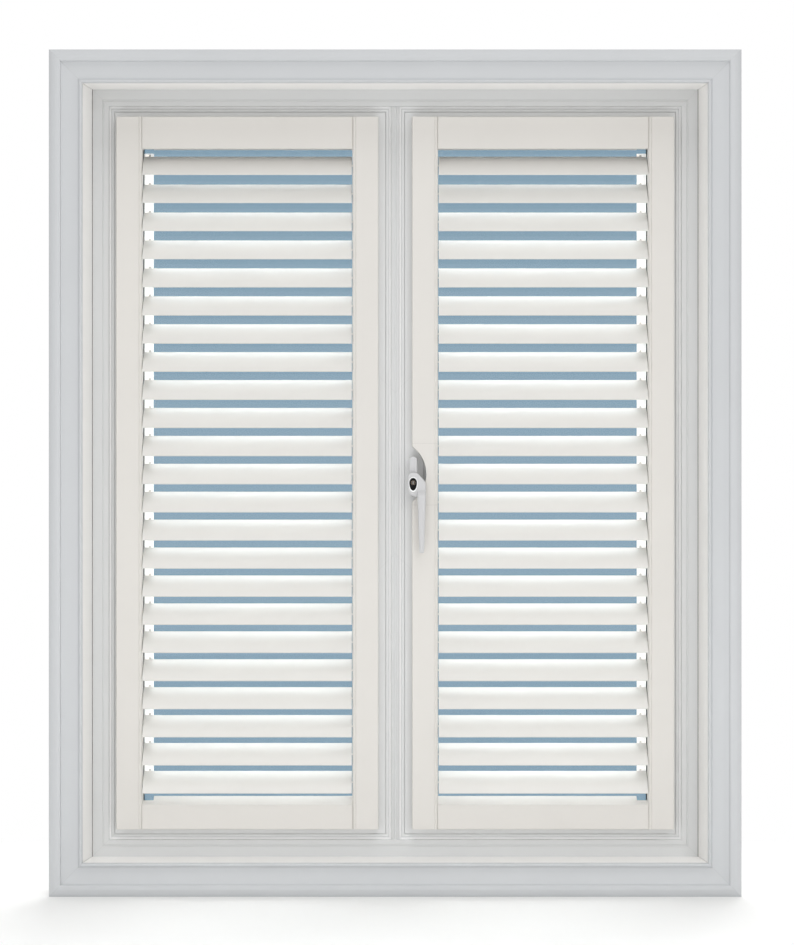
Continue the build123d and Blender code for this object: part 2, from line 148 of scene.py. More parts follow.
# Rounded edges of the solids
SOFT_EDGES = {
    "window_frame": 0.0008,
    "left_sash": 0.0007,
    "right_sash": 0.0007,
    "left_panel_frame": 0.0006,
    "right_panel_frame": 0.0006,
}
SOFT_EDGE_ANGLE = 30.0
WELD_DISTANCE = 0.00001
SMOOTH_ANGLE = 40.0

# Gaskets and glazing seals
SASH_FLANGE = 0.009
GASKET_LAP = 0.0004
GASKET_THICKNESS = 0.004
GLASS_COVER = 0.0067
SEAL_PROUD = 0.0012

# Lock, key plate and its rim
lock_low, lock_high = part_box("lock_plug")
LOCK_MIDDLE = (lock_low + lock_high) / 2
LOCK_PROUD = 0.0005
LOCK_METALLIC = 0.9
# The keyway's painted shade: a dark disc of this radius, with a soft edge, in the middle of the lock
KEYWAY_RADIUS = 0.0019
KEYWAY_EDGE = 0.0003
KEYWAY_SHADE_COLOUR = (0.004, 0.004, 0.004, 1.0)
KEY_PLATE_WIDTH = 0.0154
KEY_PLATE_RISE = 0.010
KEY_PLATE_DROP = 0.017
KEY_PLATE_THICKNESS = 0.0004
KEY_PLATE_CLEARANCE = 0.0001
KEY_PLATE_SPECULAR = 0.12
RIM_WIDTH = 0.0012
RIM_THICKNESS = 0.0008
RIM_LAP = 0.0002
PLATE_FRONT_SHARE = 0.9
PLATE_ROUND_SHARE = 0.45

# Handle's base, and where the lever turns
base_low, base_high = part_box("handle_base")
HANDLE_PIVOT = (base_low + base_high) / 2
BASE_END_SHARE = 0.98
BASE_ROUND = 0.0036

# Lever's head: reach from the pivot, its slanting sides, and the rounding of its edges
LEVER_FRONT = lock_low.y + LOCK_PROUD
HEAD_LEFT = 0.010
HEAD_RIGHT = 0.025
HEAD_RISE = 0.003
HEAD_DROP = 0.046
HEAD_DEPTH = 0.014
HEAD_CORNER = 0.005
HEAD_CUTS = [
    ((0.008, 0.003), (19, 17)),
    ((0.025, -0.040), (6, -17)),
    ((0.008, -0.046), (-7, -18)),
]
HEAD_ROUND_LEFT = 0.0088
HEAD_ROUND_RIGHT = 0.0052
HEAD_ROUND_FRONT = 0.0022
HEAD_ROUND_BACK = 0.0012

# Lever's arm: each step has its level from the pivot, its depth, and its change in width and thickness
ARM_OFFSET = 0.0165
ARM_ROOT = (0.017, 0.0105)
ARM_SINK = 0.0025
ARM_TOP = -0.030
ARM_STUB = 0.004
ARM_STEPS = [
    (-0.034, -0.0350, 1.0, 1.0),
    (-0.042, -0.0445, 1.0, 1.0),
    (-0.047, -0.0466, 0.97, 1.0),
    (-0.100, -0.0463, 0.80, 0.95),
    (-0.1505, -0.0457, 0.76, 0.90),
    (-0.1530, -0.0457, 0.86, 0.86),
    (-0.1540, -0.0457, 0.72, 0.72),
]
ARM_ROUND = 0.0034
ARM_ROUND_END = ARM_STEPS[-3][0]
LEVEL_SLACK = 0.0005
SPINDLE_RADIUS = 0.005
SPINDLE_SINK = 0.001
SPINDLE_ROUND = 0.0005

# How squarely a face or an edge has to lie along an axis to be picked
FACING = 0.9
DOWNWARD = 0.5
LEANING = 0.35

# Camera, whose place and lens fit the photograph
PHOTO_WIDTH = 794
LENS_PIXELS = 3424.0
SENSOR_WIDTH = 36.0
CAMERA_ACROSS = 0.0035
CAMERA_LEVEL = 0.766
CAMERA_REACH = 100.0
PANEL_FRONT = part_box("left_panel_frame")[0].y

# Floor, which fades to white away from the object
FLOOR_SIZE = 40.0
FLOOR_NOISE = 3.0
FLOOR_ROUGHNESS = 0.6
FLOOR_ROUGHNESS_SPREAD = 0.1
FLOOR_SPECULAR = 0.1
FLOOR_MIDDLE = -0.3
FLOOR_STRETCH = 0.5
FLOOR_FADE = 1.2
FLOOR_FADE_START = 0.5
FLOOR_LIGHT_BEHIND = 0.3

# World, whose daylight comes in through the glass
WORLD_LIGHT = 0.5
DAYLIGHT = 17.0
DAYLIGHT_COLOUR = (1.0, 0.68, 0.53, 1.0)

# Lamps: name, place, aim, size and power
LAMPS = [
    ("key_lamp", (2.2, -7.2, 4.0), (0, 0, 0.75), (1.6, 1.6), 52.0),
    ("fill_lamp", (-0.9, -8.5, 0.3), (0, 0, 0.6), (6.0, 6.0), 58.0),
    ("top_lamp", (0.2, -3.8, 7.0), (0, 0, 0.75), (4.0, 4.0), 140.0),
    ("low_lamp", (0.0, -1.6, 0.2), (0, 0, 0.3), (2.4, 0.3), 5.7),
    ("sky_lamp", (0.4, 3.2, 5.2), (0, 0, 0.75), (3.0, 3.0), 225.0),
    ("left_back_lamp", (-2.4, 2.2, 1.9), (0, 0, 0.75), (2.0, 2.4), 14.0),
    ("right_back_lamp", (2.4, 2.2, 1.9), (0, 0, 0.75), (2.0, 2.4), 14.0),
]
UNREFLECTED_LAMP = "low_lamp"


def linear(red, green, blue):
    """The colour of a pixel, as the shader's sockets take it."""
    values = []
    for value in (red, green, blue):
        share = value / 255
        values.append(share / 12.92 if share <= 0.04045 else ((share + 0.055) / 1.055) ** 2.4)
    return tuple(values) + (1.0,)


def colour_property(name, description, default):
    """A colour that the user can change."""
    return bpy.props.FloatVectorProperty(
        name=name, description=description, subtype="COLOR", size=4, min=0, max=1, default=default
    )


def length_property(name, description, default):
    """A length that the user can change."""
    return bpy.props.FloatProperty(name=name, description=description, default=default, unit="LENGTH")


class ShutterColours(bpy.types.PropertyGroup):
    """Colours of the window, its shutters and its handle"""

    shutter: colour_property("Panel paint", "Paint of the stiles and rails", linear(217, 214, 209))
    # Partly painted light: the blades have the panels' paint, given a slightly lighter colour for the
    # light their faces catch.
    blade: colour_property("Blade paint", "Paint of the blades", linear(223, 221, 217))
    plastic: colour_property("Sash plastic", "Plastic of the sashes", linear(219, 220, 220))
    # Painted shade: the outer frame is the same plastic as the sashes, given a darker colour to stand for
    # the shade it shows.
    frame_plastic_painted_shade: colour_property("Frame plastic", "Plastic of the outer frame", linear(210, 211, 211))
    # Partly painted shade: the dark line beside the lining stands for the shade in the joint as well as
    # the joint's own darker colour.
    joint: colour_property("Frame joint", "Joint between the frame and the lining", linear(96, 90, 84))
    casing: colour_property("Casing paint", "Paint of the moulded boards", linear(198, 200, 202))
    # Painted light: the lining has the same white paint as the casing, made lighter to stand for the light
    # falling on the reveal.
    lining: colour_property("Lining paint", "Paint of the lining boards", linear(250, 249, 247))
    primer: colour_property("Primer", "Outer faces of the lining boards", linear(203, 202, 198))
    handle: colour_property("Handle coating", "Coating of the handle", linear(198, 198, 199))
    key_plate: colour_property("Key plate", "Plate round the lock", linear(6, 6, 7))
    # Painted highlight: the rim has the handle's coating, given a lighter colour to stand for the
    # highlight along its raised edge.
    rim: colour_property("Key plate rim", "Raised edge round the key plate", linear(244, 244, 244))
    lock: colour_property("Lock metal", "Metal of the lock", linear(96, 86, 76))
    seal: colour_property("Seals", "Rubber of the glazing seals", linear(92, 93, 95))
    # Painted light: the gaskets are given a near-white that such rubber seldom has, so the groove round
    # each sash shows pale instead of shaded.
    gasket: colour_property("Gaskets", "Rubber between the sashes and the frame", linear(247, 247, 247))
    tilt_bar: colour_property("Tilt bar", "Translucent plastic of the tilt bars", linear(252, 252, 251))
    # Partly painted reflection: the glass is bluer than its own tint, standing for the sky it reflects.
    glass: colour_property("Glass", "Tint of the glass units", linear(134, 162, 180))
    ground: colour_property("Floor", "Floor near the object", linear(246, 246, 245))


class ShutterSizes(bpy.types.PropertyGroup):
    """Sizes of what the solids leave to this file"""

    seal: length_property("Seal", "How far the glazing seal shows", 0.0025)
    gasket: length_property("Gasket", "Width of the gasket round each sash", 0.003)
    gasket_depth: length_property("Gasket depth", "How far the gasket lies behind the sash's face", 0.0004)
    camera_distance: length_property("Camera distance", "From the panels' front to the camera", 6.7)


# Shader nodes
def feed(tree, value, socket):
    """Links a value that is a socket, or sets a plain one."""
    if isinstance(value, bpy.types.NodeSocket):
        tree.links.new(value, socket)
    else:
        socket.default_value = value


def add_math(tree, operation, *values, clamp=False):
    """A Math node fed by sockets or numbers; returns its output."""
    node = tree.nodes.new("ShaderNodeMath")
    node.operation = operation
    node.use_clamp = clamp
    for value, socket in zip(values, node.inputs):
        feed(tree, value, socket)
    return node.outputs[0]


def add_noise(tree, coordinates, scale, detail=2.0, roughness=0.5):
    """A Noise node on coordinates; returns its output."""
    noise = tree.nodes.new("ShaderNodeTexNoise")
    noise.inputs["Detail"].default_value = detail
    noise.inputs["Roughness"].default_value = roughness
    feed(tree, scale, noise.inputs["Scale"])
    tree.links.new(coordinates, noise.inputs["Vector"])
    return noise.outputs["Fac"]


def add_mix(tree, factor, first, second):
    """A Mix node for colours; returns its output."""
    node = tree.nodes.new("ShaderNodeMix")
    node.data_type = "RGBA"
    feed(tree, factor, node.inputs["Factor"])
    feed(tree, first, node.inputs["A"])
    feed(tree, second, node.inputs["B"])
    return node.outputs["Result"]


def split_axes(tree, position):
    """X, Y and Z of a position."""
    split = tree.nodes.new("ShaderNodeSeparateXYZ")
    tree.links.new(position, split.inputs[0])
    return [split.outputs[axis] for axis in "XYZ"]


def object_position(tree):
    """The shaded point in the object's own coordinates."""
    return tree.nodes.new("ShaderNodeTexCoord").outputs["Object"]


def add_distance(tree, across, along):
    """The distance that two lengths at a right angle make."""
    square = add_math(tree, "MULTIPLY", along, along)
    return add_math(tree, "SQRT", add_math(tree, "MULTIPLY_ADD", across, across, square))


def add_line(tree, apart, half_width):
    """A mask that is 1 on a line and fades to 0 at half its width, by the distance from it."""
    ratio = add_math(tree, "DIVIDE", add_math(tree, "ABSOLUTE", apart), half_width)
    return add_math(tree, "SUBTRACT", 1.0, ratio, clamp=True)


def add_group(tree, group_name, position, settings):
    """A node group that is fed with a position and plain settings."""
    node = tree.nodes.new("ShaderNodeGroup")
    node.node_tree = bpy.data.node_groups[group_name]
    for socket_name, value in settings.items():
        node.inputs[socket_name].default_value = value
    tree.links.new(position, node.inputs["Position"])
    return node


def show_mix(tree, factor, first, second):
    """Shows a mix of two shaders as the material's surface."""
    mix = tree.nodes.new("ShaderNodeMixShader")
    feed(tree, factor, mix.inputs[0])
    tree.links.new(first.outputs[0], mix.inputs[1])
    tree.links.new(second.outputs[0], mix.inputs[2])
    tree.links.new(mix.outputs[0], tree.nodes["Material Output"].inputs["Surface"])


def seen_directly(tree):
    """1 for what the camera sees, also in reflections and through glass; 0 for light on other things."""
    path = tree.nodes.new("ShaderNodeLightPath")
    seen = add_math(tree, "MAXIMUM", path.outputs["Is Camera Ray"], path.outputs["Is Glossy Ray"])
    return add_math(tree, "MAXIMUM", seen, path.outputs["Is Transmission Ray"])


# Node groups
def new_group(name, inputs, outputs):
    """An empty shader node group with these sockets, and its two end nodes."""
    group = bpy.data.node_groups.new(name, "ShaderNodeTree")
    for socket_name, kind, default in inputs:
        socket = group.interface.new_socket(socket_name, in_out="INPUT", socket_type=kind)
        if default is not None:
            socket.default_value = default
    for socket_name, kind in outputs:
        group.interface.new_socket(socket_name, in_out="OUTPUT", socket_type=kind)
    return group, group.nodes.new("NodeGroupInput"), group.nodes.new("NodeGroupOutput")


def make_paint_film():
    """Clouded colour, uneven gloss and the fine grain of sprayed, rolled or moulded surfaces."""
    group, start, end = new_group(
        "paint_film",
        [
            ("Colour", "NodeSocketColor", (0.8, 0.8, 0.8, 1)),
            ("Shade", "NodeSocketColor", (0.7, 0.7, 0.7, 1)),
            ("Position", "NodeSocketVector", None),
            ("Cloud scale", "NodeSocketFloat", 6.0),
            ("Cloud amount", "NodeSocketFloat", 0.3),
            ("Grain scale", "NodeSocketFloat", 900.0),
            ("Roughness low", "NodeSocketFloat", 0.35),
            ("Roughness high", "NodeSocketFloat", 0.5),
        ],
        [
            ("Colour", "NodeSocketColor"),
            ("Roughness", "NodeSocketFloat"),
            ("Height", "NodeSocketFloat"),
        ],
    )
    values = start.outputs
    cloud = add_noise(group, values["Position"], values["Cloud scale"], detail=4.0, roughness=0.6)
    cloud = add_math(group, "MULTIPLY_ADD", cloud, CLOUD_CONTRAST, CLOUD_OFFSET, clamp=True)
    amount = add_math(group, "MULTIPLY", cloud, values["Cloud amount"])
    colour = add_mix(group, amount, values["Colour"], values["Shade"])
    grain = add_noise(group, values["Position"], values["Grain scale"], detail=1.0, roughness=0.4)
    spread = add_math(group, "SUBTRACT", values["Roughness high"], values["Roughness low"])
    roughness = add_math(group, "MULTIPLY_ADD", cloud, spread, values["Roughness low"])
    group.links.new(colour, end.inputs["Colour"])
    group.links.new(roughness, end.inputs["Roughness"])
    group.links.new(grain, end.inputs["Height"])


def make_corner_joint():
    """A mask for the diagonal joint lines at the corners of a rectangle in X and Z."""
    group, start, end = new_group(
        "corner_joint",
        [
            ("Position", "NodeSocketVector", None),
            ("Middle Z", "NodeSocketFloat", 0.765),
            ("Half width", "NodeSocketFloat", 0.6),
            ("Half height", "NodeSocketFloat", 0.75),
            ("Flare", "NodeSocketFloat", 0.0),
            ("Line", "NodeSocketFloat", 0.0004),
        ],
        [("Joint", "NodeSocketFloat")],
    )
    values = start.outputs
    x, y, z = split_axes(group, values["Position"])
    across = add_math(group, "MULTIPLY_ADD", y, values["Flare"], add_math(group, "ABSOLUTE", x))
    across = add_math(group, "SUBTRACT", across, values["Half width"])
    along = add_math(group, "ABSOLUTE", add_math(group, "SUBTRACT", z, values["Middle Z"]))
    along = add_math(group, "SUBTRACT", along, values["Half height"])
    apart = add_math(group, "SUBTRACT", across, along)
    group.links.new(add_line(group, apart, values["Line"]), end.inputs["Joint"])


def make_cross_joint():
    """A mask for two level joint lines across a member, between two places in X."""
    group, start, end = new_group(
        "cross_joint",
        [
            ("Position", "NodeSocketVector", None),
            ("Low X", "NodeSocketFloat", 0.0),
            ("High X", "NodeSocketFloat", 0.1),
            ("Upper Z", "NodeSocketFloat", 0.8),
            ("Lower Z", "NodeSocketFloat", 0.7),
            ("Line", "NodeSocketFloat", 0.0006),
        ],
        [("Joint", "NodeSocketFloat")],
    )
    values = start.outputs
    x, _, z = split_axes(group, values["Position"])
    upper = add_line(group, add_math(group, "SUBTRACT", z, values["Upper Z"]), values["Line"])
    lower = add_line(group, add_math(group, "SUBTRACT", z, values["Lower Z"]), values["Line"])
    line = add_math(group, "MAXIMUM", upper, lower)
    line = add_math(group, "MULTIPLY", line, add_math(group, "GREATER_THAN", x, values["Low X"]))
    line = add_math(group, "MULTIPLY", line, add_math(group, "LESS_THAN", x, values["High X"]))
    group.links.new(line, end.inputs["Joint"])


# Materials
def new_material(name, colour):
    """A material, its tree, its Principled shader and its Object coordinates."""
    material = bpy.data.materials.new(name)
    material.use_nodes = True
    material.diffuse_color = tuple(colour)
    tree = material.node_tree
    return material, tree, tree.nodes["Principled BSDF"], object_position(tree)


def shaded(colour, share):
    """A colour with its brightness cut to a share."""
    return tuple(value * share for value in colour[:3]) + (1.0,)


def painted_material(name, colour, joints=None, joint_group="corner_joint"):
    """Paint, plastic, rubber or metal with its film, and with joint lines where they are given."""
    film = FILMS[name]
    material, tree, shader, position = new_material(name, colour)
    settings = {
        "Colour": tuple(colour),
        "Shade": shaded(colour, CLOUD_SHADE),
        "Cloud scale": film.cloud_scale,
        "Cloud amount": film.cloud_amount,
        "Grain scale": film.grain_scale,
        "Roughness low": film.roughness,
        "Roughness high": film.roughness + ROUGHNESS_SPREAD,
    }
    surface = add_group(tree, "paint_film", position, settings)
    result = surface.outputs["Colour"]
    height = surface.outputs["Height"]
    if joints:
        mask = add_group(tree, joint_group, position, joints).outputs["Joint"]
        strength = add_math(tree, "MULTIPLY", mask, JOINT_STRENGTH)
        result = add_mix(tree, strength, result, shaded(colour, JOINT_SHADE))
        height = add_math(tree, "SUBTRACT", height, add_math(tree, "MULTIPLY", mask, JOINT_DEPTH))
    bumps = tree.nodes.new("ShaderNodeBump")
    bumps.inputs["Strength"].default_value = film.grain_bump
    bumps.inputs["Distance"].default_value = BUMP_DISTANCE
    tree.links.new(height, bumps.inputs["Height"])
    tree.links.new(result, shader.inputs["Base Color"])
    tree.links.new(surface.outputs["Roughness"], shader.inputs["Roughness"])
    tree.links.new(bumps.outputs["Normal"], shader.inputs["Normal"])
    shader.inputs["Coat Weight"].default_value = film.coat
    shader.inputs["Coat Roughness"].default_value = COAT_ROUGHNESS
    return material


def lay_over(material, mask, colour):
    """Lays another colour over a painted material where a mask is 1."""
    tree = material.node_tree
    base = tree.nodes["Principled BSDF"].inputs["Base Color"]
    plain = base.links[0].from_socket
    tree.links.new(add_mix(tree, mask, plain, tuple(colour)), base)


def paint_frame_joint_shade(material, colour):
    """A thin dark line at both sides of the frame's front, where the lining boards meet it: partly the
    joint's own darker colour, partly painted shade in the gap.
    """
    tree = material.node_tree
    x, y, _ = split_axes(tree, object_position(tree))
    across = add_math(tree, "ABSOLUTE", x)
    start = OPENING_HALF_WIDTH - FRAME_JOINT
    end = OPENING_HALF_WIDTH + JOINT_EDGE
    joint = add_math(tree, "MULTIPLY_ADD", across, 1.0 / JOINT_EDGE, -start / JOINT_EDGE, clamp=True)
    joint = add_math(tree, "MULTIPLY", joint, add_math(tree, "LESS_THAN", across, end))
    joint = add_math(tree, "MULTIPLY", joint, add_math(tree, "LESS_THAN", y, JOINT_EDGE))
    lay_over(material, joint, colour)


def prime_outside(material, colour):
    """Dull primer on the outer faces of the lining, which are hidden once it is built in."""
    tree = material.node_tree
    x, y, z = split_axes(tree, object_position(tree))
    rim = LINING_THICKNESS - PRIMER_EDGE
    wide = add_math(tree, "MULTIPLY_ADD", y, LINING_SLOPE, add_math(tree, "ABSOLUTE", x))
    wide = add_math(tree, "SUBTRACT", wide, OPENING_HALF_WIDTH + rim)
    tall = add_math(tree, "ABSOLUTE", add_math(tree, "SUBTRACT", z, OPENING_MIDDLE))
    tall = add_math(tree, "SUBTRACT", tall, OPENING_HALF_HEIGHT + rim)
    outside = add_math(tree, "GREATER_THAN", add_math(tree, "MAXIMUM", wide, tall), 0.0)
    lay_over(material, outside, colour)


def paint_keyway_shade(material):
    """Painted shade: a dark disc in the middle of the lock, standing for the shade inside the keyway."""
    tree = material.node_tree
    x, _, z = split_axes(tree, object_position(tree))
    across = add_math(tree, "SUBTRACT", x, LOCK_MIDDLE.x)
    along = add_math(tree, "SUBTRACT", z, LOCK_MIDDLE.z)
    away = add_distance(tree, across, along)
    centre = 1.0 + KEYWAY_RADIUS / KEYWAY_EDGE
    dark = add_math(tree, "MULTIPLY_ADD", away, -1.0 / KEYWAY_EDGE, centre, clamp=True)
    lay_over(material, dark, KEYWAY_SHADE_COLOUR)


def translucent_with_painted_glow(material, colour):
    """Lets daylight through a painted material, and gives it a painted glow: a faint light of its own,
    though it is no lamp.
    """
    tree = material.node_tree
    shader = tree.nodes["Principled BSDF"]
    shader.inputs["Emission Color"].default_value = tuple(colour)
    shader.inputs["Emission Strength"].default_value = TILT_BAR_PAINTED_GLOW
    through = tree.nodes.new("ShaderNodeBsdfTranslucent")
    through.inputs["Color"].default_value = tuple(colour)
    show_mix(tree, TILT_BAR_LET_THROUGH, shader, through)


def glass_material(colour):
    """Tinted glass with a little dust, which lets light through to what stands behind it. Its blue is
    partly its own tint and partly a painted reflection of the sky.
    """
    material, tree, shader, position = new_material("pane_glass", colour)
    shader.inputs["Base Color"].default_value = tuple(colour)
    shader.inputs["Transmission Weight"].default_value = 1.0
    shader.inputs["IOR"].default_value = GLASS_IOR
    dust = add_noise(tree, position, DUST_SCALE, detail=6.0, roughness=0.65)
    rough = add_math(tree, "MULTIPLY_ADD", dust, DUST_ROUGHNESS, -DUST_LIMIT, clamp=True)
    tree.links.new(rough, shader.inputs["Roughness"])
    clear = tree.nodes.new("ShaderNodeBsdfTransparent")
    clear.inputs["Color"].default_value = GLASS_SHADOW
    path = tree.nodes.new("ShaderNodeLightPath")
    show_mix(tree, path.outputs["Is Shadow Ray"], shader, clear)
    return material


def wear(node_names, material):
    """Puts one material on carried-over solids."""
    for name in node_names:
        data = nodes[name].data
        data.materials.clear()
        data.materials.append(material)
        for polygon in data.polygons:
            polygon.material_index = 0


# Modelling
def pick_faces(test):
    """Selects the faces whose middle and normal pass a test, in edit mode."""
    mesh = bmesh.from_edit_mesh(bpy.context.object.data)
    bpy.ops.mesh.select_mode(type="FACE")
    bpy.ops.mesh.select_all(action="DESELECT")
    for face in mesh.faces:
        face.select_set(test(face.calc_center_median(), face.normal))
    bmesh.update_edit_mesh(bpy.context.object.data)


def pick_edges(test):
    """Selects the edges whose middle and direction pass a test, in edit mode."""
    mesh = bmesh.from_edit_mesh(bpy.context.object.data)
    bpy.ops.mesh.select_mode(type="EDGE")
    bpy.ops.mesh.select_all(action="DESELECT")
    for edge in mesh.edges:
        start, end = (vertex.co for vertex in edge.verts)
        edge.select_set(test((start + end) / 2, (end - start).normalized()))
    bmesh.update_edit_mesh(bpy.context.object.data)


def round_off(radius, segments):
    """Rounds the selected edges."""
    bpy.ops.mesh.bevel(offset=radius, segments=segments, affect="EDGES", clamp_overlap=True)


def round_outline(test, radius, segments):
    """Rounds the outline of the faces that pass a test."""
    pick_faces(test)
    bpy.ops.mesh.region_to_loop()
    round_off(radius, segments)


def edit_new(name, scale=None):
    """Names the object just added and starts to edit it, with its scale applied."""
    piece = bpy.context.object
    piece.name = name
    if scale:
        piece.scale = scale
    bpy.ops.object.transform_apply(location=True, rotation=True, scale=True)
    bpy.ops.object.mode_set(mode="EDIT")


def start_box(name, low, high):
    """A box between two corners, in edit mode."""
    middle = [(start + end) / 2 for start, end in zip(low, high)]
    bpy.ops.object.select_all(action="DESELECT")
    bpy.ops.mesh.primitive_cube_add(size=1.0, location=middle)
    edit_new(name, [end - start for start, end in zip(low, high)])


def cut(place, normal):
    """Cuts away what lies beyond a plane and closes the cut."""
    bpy.ops.mesh.select_all(action="SELECT")
    bpy.ops.mesh.bisect(
        plane_co=place, plane_no=Vector(normal).normalized(), use_fill=True, clear_outer=True
    )


def finish_piece():
    """Leaves edit mode, with normals outwards and smooth shading below an angle."""
    bpy.ops.mesh.select_all(action="SELECT")
    bpy.ops.mesh.normals_make_consistent(inside=False)
    bpy.ops.object.mode_set(mode="OBJECT")
    bpy.ops.object.shade_smooth_by_angle(angle=math.radians(SMOOTH_ANGLE))
    return bpy.context.object


def make_ring(name, low, high, width, front, back, material, body):
    """A rectangular ring inside (low, high) in X and Z, as wide as given and from front to back."""
    middle_x, middle_z = (low[0] + high[0]) / 2, (low[1] + high[1]) / 2
    bpy.ops.object.select_all(action="DESELECT")
    bpy.ops.mesh.primitive_plane_add(
        size=1.0, location=(middle_x, front, middle_z), rotation=(math.radians(90), 0, 0)
    )
    edit_new(name, (high[0] - low[0], high[1] - low[1], 1))
    bpy.ops.mesh.select_all(action="SELECT")
    bpy.ops.mesh.inset(thickness=width)
    bpy.ops.mesh.delete(type="FACE")
    bpy.ops.mesh.select_all(action="SELECT")
    bpy.ops.mesh.extrude_region_move(TRANSFORM_OT_translate={"value": (0, back - front, 0)})
    bpy.ops.mesh.select_all(action="SELECT")
    bpy.ops.mesh.normals_make_consistent(inside=False)
    bpy.ops.object.mode_set(mode="OBJECT")
    ring = bpy.context.object
    ring.data.materials.append(material)
    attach(ring, body)


def add_circle(radius):
    """A circle round the lock, on the lever's front."""
    bpy.ops.mesh.primitive_circle_add(
        vertices=64,
        radius=radius,
        location=(LOCK_MIDDLE.x, LEVER_FRONT, LOCK_MIDDLE.z),
        rotation=(math.radians(90), 0, 0),
    )


def make_egg(name, margin, hole, thickness):
    """A thin egg-shaped plate round the lock. With a margin its hole is egg-shaped too, else round."""
    radius = KEY_PLATE_WIDTH / 2 + margin
    centre = (LOCK_MIDDLE.x, LEVER_FRONT, LOCK_MIDDLE.z)
    bpy.ops.object.select_all(action="DESELECT")
    add_circle(radius)
    edit_new(name)
    if margin:
        bpy.ops.mesh.select_all(action="SELECT")
        bpy.ops.mesh.extrude_edges_move()
        bpy.ops.transform.resize(value=(hole / radius,) * 3, center_override=centre)
    for side, reach in ((1, KEY_PLATE_RISE), (-1, KEY_PLATE_DROP)):
        pick_edges(lambda place, way: (place.z - LOCK_MIDDLE.z) * side > 0)
        bpy.ops.transform.resize(value=(1, 1, (reach + margin) / radius), center_override=centre)
    if not margin:
        bpy.ops.mesh.select_all(action="DESELECT")
        add_circle(hole)
        bpy.ops.mesh.select_all(action="SELECT")
        bpy.ops.mesh.bridge_edge_loops()
    bpy.ops.mesh.select_all(action="SELECT")
    bpy.ops.mesh.extrude_region_move(TRANSFORM_OT_translate={"value": (0, -thickness, 0)})
    front = LEVER_FRONT - thickness * PLATE_FRONT_SHARE
    round_outline(lambda place, normal: place.y < front, thickness * PLATE_ROUND_SHARE, segments=3)
    return finish_piece()


def make_base():
    """The handle's base, with round ends and a rounded front edge."""
    start_box("handle_base_cover", base_low, base_high)
    pick_edges(lambda place, way: abs(way.y) > FACING)
    round_off((base_high.x - base_low.x) / 2 * BASE_END_SHARE, segments=10)
    round_outline(lambda place, normal: normal.y < -FACING, BASE_ROUND, segments=5)
    return finish_piece()


def make_head():
    """The lever's head, a box with slanting sides and rounded edges."""
    head_x, head_z = HANDLE_PIVOT.x, HANDLE_PIVOT.z
    start_box(
        "handle_lever_body",
        (head_x - HEAD_LEFT, LEVER_FRONT, head_z - HEAD_DROP),
        (head_x + HEAD_RIGHT, LEVER_FRONT + HEAD_DEPTH, head_z + HEAD_RISE),
    )
    for (across, up), (way_x, way_z) in HEAD_CUTS:
        cut((head_x + across, 0, head_z + up), (way_x, 0, way_z))
    pick_edges(lambda place, way: abs(way.y) > FACING and place.x < head_x - HEAD_CORNER)
    round_off(HEAD_ROUND_LEFT, segments=8)
    pick_edges(lambda place, way: abs(way.y) > FACING and place.x > head_x + HEAD_CORNER)
    round_off(HEAD_ROUND_RIGHT, segments=6)
    round_outline(lambda place, normal: normal.y < -FACING, HEAD_ROUND_FRONT, segments=5)
    round_outline(lambda place, normal: normal.y > FACING, HEAD_ROUND_BACK, segments=2)
    return finish_piece()


def make_arm():
    """The cranked arm, drawn down from the head step by step."""
    middle, head_z = HANDLE_PIVOT.x + ARM_OFFSET, HANDLE_PIVOT.z
    width, thick = ARM_ROOT
    front = LEVER_FRONT + ARM_SINK
    start_box(
        "handle_arm",
        (middle - width / 2, front, head_z + ARM_TOP),
        (middle + width / 2, front + thick, head_z + ARM_TOP + ARM_STUB),
    )
    level = ARM_TOP
    depth = front + thick / 2
    for next_level, next_depth, share_x, share_y in ARM_STEPS:
        end = head_z + level + LEVEL_SLACK
        pick_faces(lambda place, normal: normal.z < -DOWNWARD and place.z < end)
        bpy.ops.mesh.extrude_region_move(
            TRANSFORM_OT_translate={"value": (0, next_depth - depth, next_level - level)}
        )
        level, depth = next_level, next_depth
        bpy.ops.transform.resize(
            value=(share_x, share_y, 1), center_override=(middle, depth, head_z + level)
        )
    pick_edges(lambda place, way: abs(way.z) > LEANING and place.z > head_z + ARM_ROUND_END)
    round_off(ARM_ROUND, segments=5)
    return finish_piece()


def make_spindle():
    """The spindle, from inside the head to the end of its solid."""
    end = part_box("handle_lever")[1].y
    start = LEVER_FRONT + HEAD_DEPTH - SPINDLE_SINK
    bpy.ops.object.select_all(action="DESELECT")
    bpy.ops.mesh.primitive_cylinder_add(
        vertices=32,
        radius=SPINDLE_RADIUS,
        depth=end - start,
        location=(HANDLE_PIVOT.x, (end + start) / 2, HANDLE_PIVOT.z),
        rotation=(math.radians(90), 0, 0),
    )
    edit_new("handle_spindle")
    round_outline(lambda place, normal: normal.y > FACING, SPINDLE_ROUND, segments=2)
    return finish_piece()


